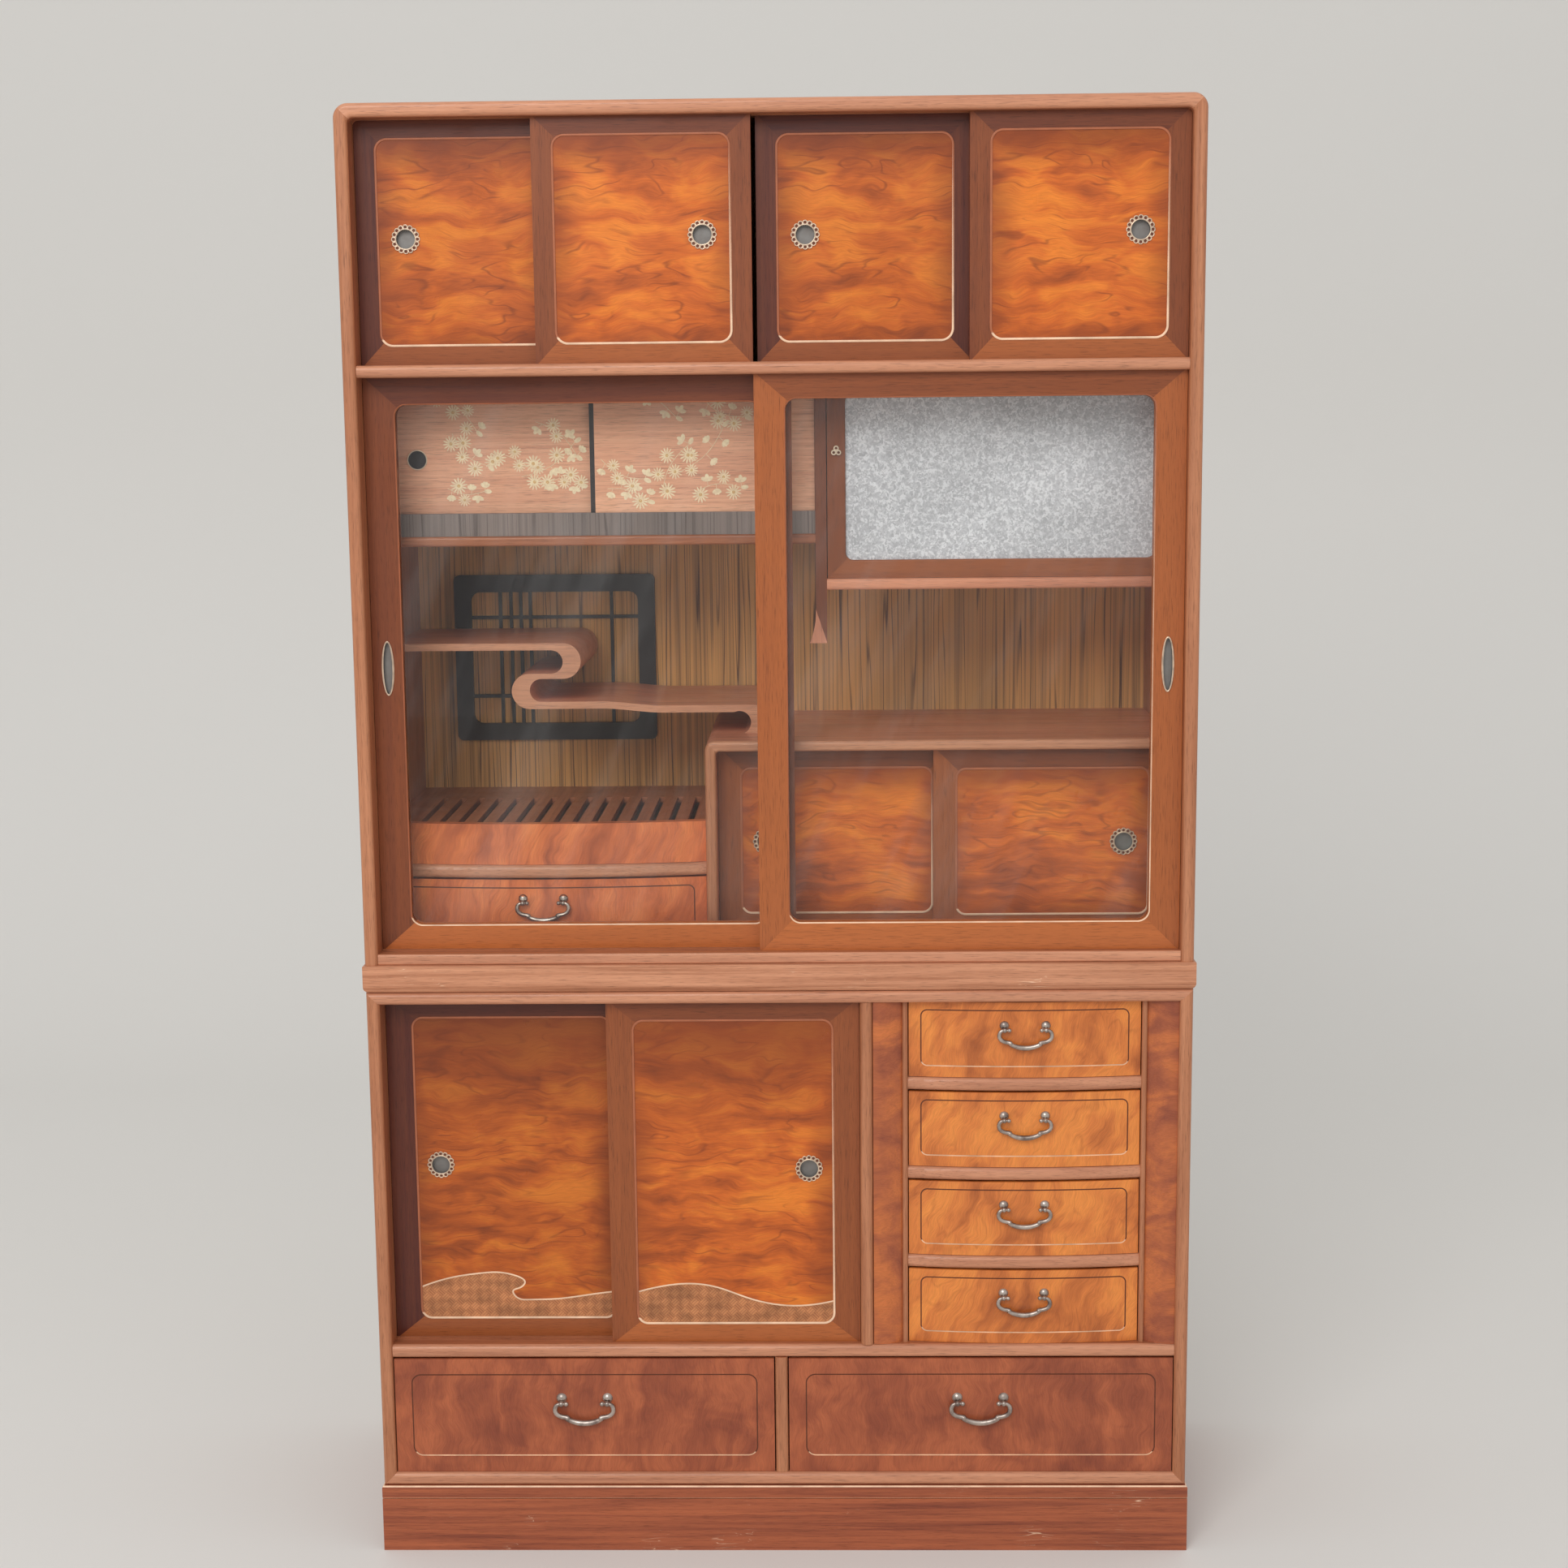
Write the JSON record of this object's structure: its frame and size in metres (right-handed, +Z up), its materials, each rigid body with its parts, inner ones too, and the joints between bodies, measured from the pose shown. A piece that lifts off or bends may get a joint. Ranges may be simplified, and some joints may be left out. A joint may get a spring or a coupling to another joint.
{
  "type": "mizuya kitchen cabinet",
  "caption": "Tall two-part kitchen cabinet with sliding burl and glass doors, staggered inner shelves, bow-front and wide drawers with hanging bails, on a plinth.",
  "frame": {"origin": "centre of the bounding box at floor level", "axes": "+Z up, +X to the right seen from the front, +Y into the cabinet, the doors face -Y"},
  "size_m": [1.065, 0.4156, 1.868],
  "materials": {
    "case_wood": "oiled",
    "frame_wood": "lacquered",
    "figured_wood": "lacquered",
    "base_wood": "lacquered",
    "striped_wood": "oiled",
    "pale_wood": "oiled",
    "black_wood": "lacquered",
    "clear_glass": "clear",
    "frosted_glass": "frosted",
    "bail_metal": "aged"
  },
  "bodies": {
    "case": {"upper_top_board": "case_wood", "upper_side_left": "case_wood", "upper_side_right": "case_wood", "upper_back_panel": "striped_wood", "upper_bottom_board": "case_wood", "upper_shelf": "case_wood", "left_cupboard_shelf": "case_wood", "right_cupboard_shelf": "case_wood", "hanging_post": "pale_wood", "counter_board": "pale_wood", "counter_side": "pale_wood", "bay_board": "case_wood", "bay_fascia": "case_wood", "slat_rack": "pale_wood", "cloud_shelf": "pale_wood", "lattice_window": "black_wood", "stack_slab": "case_wood", "lower_side_left": "case_wood", "lower_side_right": "case_wood", "lower_bottom_board": "case_wood", "lower_top_board": "case_wood", "lower_mid_shelf": "case_wood", "base_divider": "base_wood", "lower_back_panel": "striped_wood", "bay_divider": "frame_wood", "drawer_guides": "frame_wood", "pilasters": "frame_wood", "drawer_boards": "figured_wood", "plinth_boards": "base_wood", "plinth_moulding": "base_wood"},
    "top_door_1": {"top_door_1": "figured_wood"},
    "top_door_2": {"top_door_2": "figured_wood"},
    "top_door_3": {"top_door_3": "figured_wood"},
    "top_door_4": {"top_door_4": "figured_wood"},
    "left_glass_door": {"left_glass_door": "frame_wood", "left_glass_pane": "clear_glass"},
    "right_glass_door": {"right_glass_door": "frame_wood", "right_glass_pane": "clear_glass"},
    "left_blossom_door": {"left_blossom_door": "figured_wood"},
    "right_blossom_door": {"right_blossom_door": "figured_wood"},
    "left_small_door": {"left_small_door": "figured_wood"},
    "right_small_door": {"right_small_door": "figured_wood"},
    "left_lower_door": {"left_lower_door": "figured_wood"},
    "right_lower_door": {"right_lower_door": "figured_wood"},
    "frosted_door": {"frosted_door": "frame_wood", "frosted_pane": "frosted_glass"},
    "bay_drawer": {"bay_drawer": "figured_wood"},
    "left_base_drawer": {"left_base_drawer": "base_wood"},
    "right_base_drawer": {"right_base_drawer": "base_wood"},
    "bow_drawer_1": {"bow_drawer_1": "figured_wood"},
    "bow_drawer_2": {"bow_drawer_2": "figured_wood"},
    "bow_drawer_3": {"bow_drawer_3": "figured_wood"},
    "bow_drawer_4": {"bow_drawer_4": "figured_wood"},
    "bow_bail_1": {"bow_bail_1": "bail_metal"},
    "bow_bail_2": {"bow_bail_2": "bail_metal"},
    "bow_bail_3": {"bow_bail_3": "bail_metal"},
    "bow_bail_4": {"bow_bail_4": "bail_metal"},
    "left_base_bail": {"left_base_bail": "bail_metal"},
    "right_base_bail": {"right_base_bail": "bail_metal"},
    "bay_bail": {"bay_bail": "bail_metal"}
  },
  "joints": [
    {"name": "top_door_1_slide", "type": "slide", "parent": "case", "child": "top_door_1", "axis": [1, 0, 0], "range_m": [0, 0.225]},
    {"name": "top_door_2_slide", "type": "slide", "parent": "case", "child": "top_door_2", "axis": [1, 0, 0], "range_m": [-0.22, 0.267]},
    {"name": "top_door_3_slide", "type": "slide", "parent": "case", "child": "top_door_3", "axis": [1, 0, 0], "range_m": [-0.225, 0.261]},
    {"name": "top_door_4_slide", "type": "slide", "parent": "case", "child": "top_door_4", "axis": [1, 0, 0], "range_m": [-0.267, 0]},
    {"name": "left_glass_door_slide", "type": "slide", "parent": "case", "child": "left_glass_door", "axis": [1, 0, 0], "range_m": [0, 0.489]},
    {"name": "right_glass_door_slide", "type": "slide", "parent": "case", "child": "right_glass_door", "axis": [1, 0, 0], "range_m": [-0.489, 0]},
    {"name": "left_blossom_door_slide", "type": "slide", "parent": "case", "child": "left_blossom_door", "axis": [1, 0, 0], "range_m": [0, 0.275]},
    {"name": "right_blossom_door_slide", "type": "slide", "parent": "case", "child": "right_blossom_door", "axis": [1, 0, 0], "range_m": [-0.275, 0]},
    {"name": "left_small_door_slide", "type": "slide", "parent": "case", "child": "left_small_door", "axis": [1, 0, 0], "range_m": [0, 0.28]},
    {"name": "right_small_door_slide", "type": "slide", "parent": "case", "child": "right_small_door", "axis": [1, 0, 0], "range_m": [-0.28, 0]},
    {"name": "left_lower_door_slide", "type": "slide", "parent": "case", "child": "left_lower_door", "axis": [1, 0, 0], "range_m": [0, 0.288]},
    {"name": "right_lower_door_slide", "type": "slide", "parent": "case", "child": "right_lower_door", "axis": [1, 0, 0], "range_m": [-0.288, 0]},
    {"name": "frosted_door_hinge", "type": "hinge", "parent": "case", "child": "frosted_door", "pos_m": [0.5045, -0.0917, 1.4095], "axis": [0, 0, 1], "range_deg": [0, 4.5]},
    {"name": "bay_drawer_slide", "type": "slide", "parent": "case", "child": "bay_drawer", "axis": [0, -1, 0], "range_m": [0, 0.015]},
    {"name": "bow_drawer_1_slide", "type": "slide", "parent": "case", "child": "bow_drawer_1", "axis": [0, -1, 0], "range_m": [0, 0.25]},
    {"name": "bow_drawer_2_slide", "type": "slide", "parent": "case", "child": "bow_drawer_2", "axis": [0, -1, 0], "range_m": [0, 0.25]},
    {"name": "bow_drawer_3_slide", "type": "slide", "parent": "case", "child": "bow_drawer_3", "axis": [0, -1, 0], "range_m": [0, 0.25]},
    {"name": "bow_drawer_4_slide", "type": "slide", "parent": "case", "child": "bow_drawer_4", "axis": [0, -1, 0], "range_m": [0, 0.25]},
    {"name": "left_base_drawer_slide", "type": "slide", "parent": "case", "child": "left_base_drawer", "axis": [0, -1, 0], "range_m": [0, 0.27]},
    {"name": "right_base_drawer_slide", "type": "slide", "parent": "case", "child": "right_base_drawer", "axis": [0, -1, 0], "range_m": [0, 0.27]},
    {"name": "bow_bail_1_hinge", "type": "hinge", "parent": "bow_drawer_1", "child": "bow_bail_1", "pos_m": [0.3165, -0.19926, 0.70688], "axis": [-1, 0, 0], "range_deg": [0, 85]},
    {"name": "bow_bail_2_hinge", "type": "hinge", "parent": "bow_drawer_2", "child": "bow_bail_2", "pos_m": [0.3165, -0.19926, 0.58713], "axis": [-1, 0, 0], "range_deg": [0, 85]},
    {"name": "bow_bail_3_hinge", "type": "hinge", "parent": "bow_drawer_3", "child": "bow_bail_3", "pos_m": [0.3165, -0.19926, 0.46737], "axis": [-1, 0, 0], "range_deg": [0, 85]},
    {"name": "bow_bail_4_hinge", "type": "hinge", "parent": "bow_drawer_4", "child": "bow_bail_4", "pos_m": [0.3165, -0.19926, 0.34763], "axis": [-1, 0, 0], "range_deg": [0, 85]},
    {"name": "left_base_bail_hinge", "type": "hinge", "parent": "left_base_drawer", "child": "left_base_bail", "pos_m": [-0.26125, -0.2037, 0.2045], "axis": [-1, 0, 0], "range_deg": [0, 85]},
    {"name": "right_base_bail_hinge", "type": "hinge", "parent": "right_base_drawer", "child": "right_base_bail", "pos_m": [0.26025, -0.2037, 0.2045], "axis": [-1, 0, 0], "range_deg": [0, 85]},
    {"name": "bay_bail_hinge", "type": "hinge", "parent": "bay_drawer", "child": "bay_bail", "pos_m": [-0.3085, -0.12476, 0.86113], "axis": [-1, 0, 0], "range_deg": [0, 30]}
  ]
}
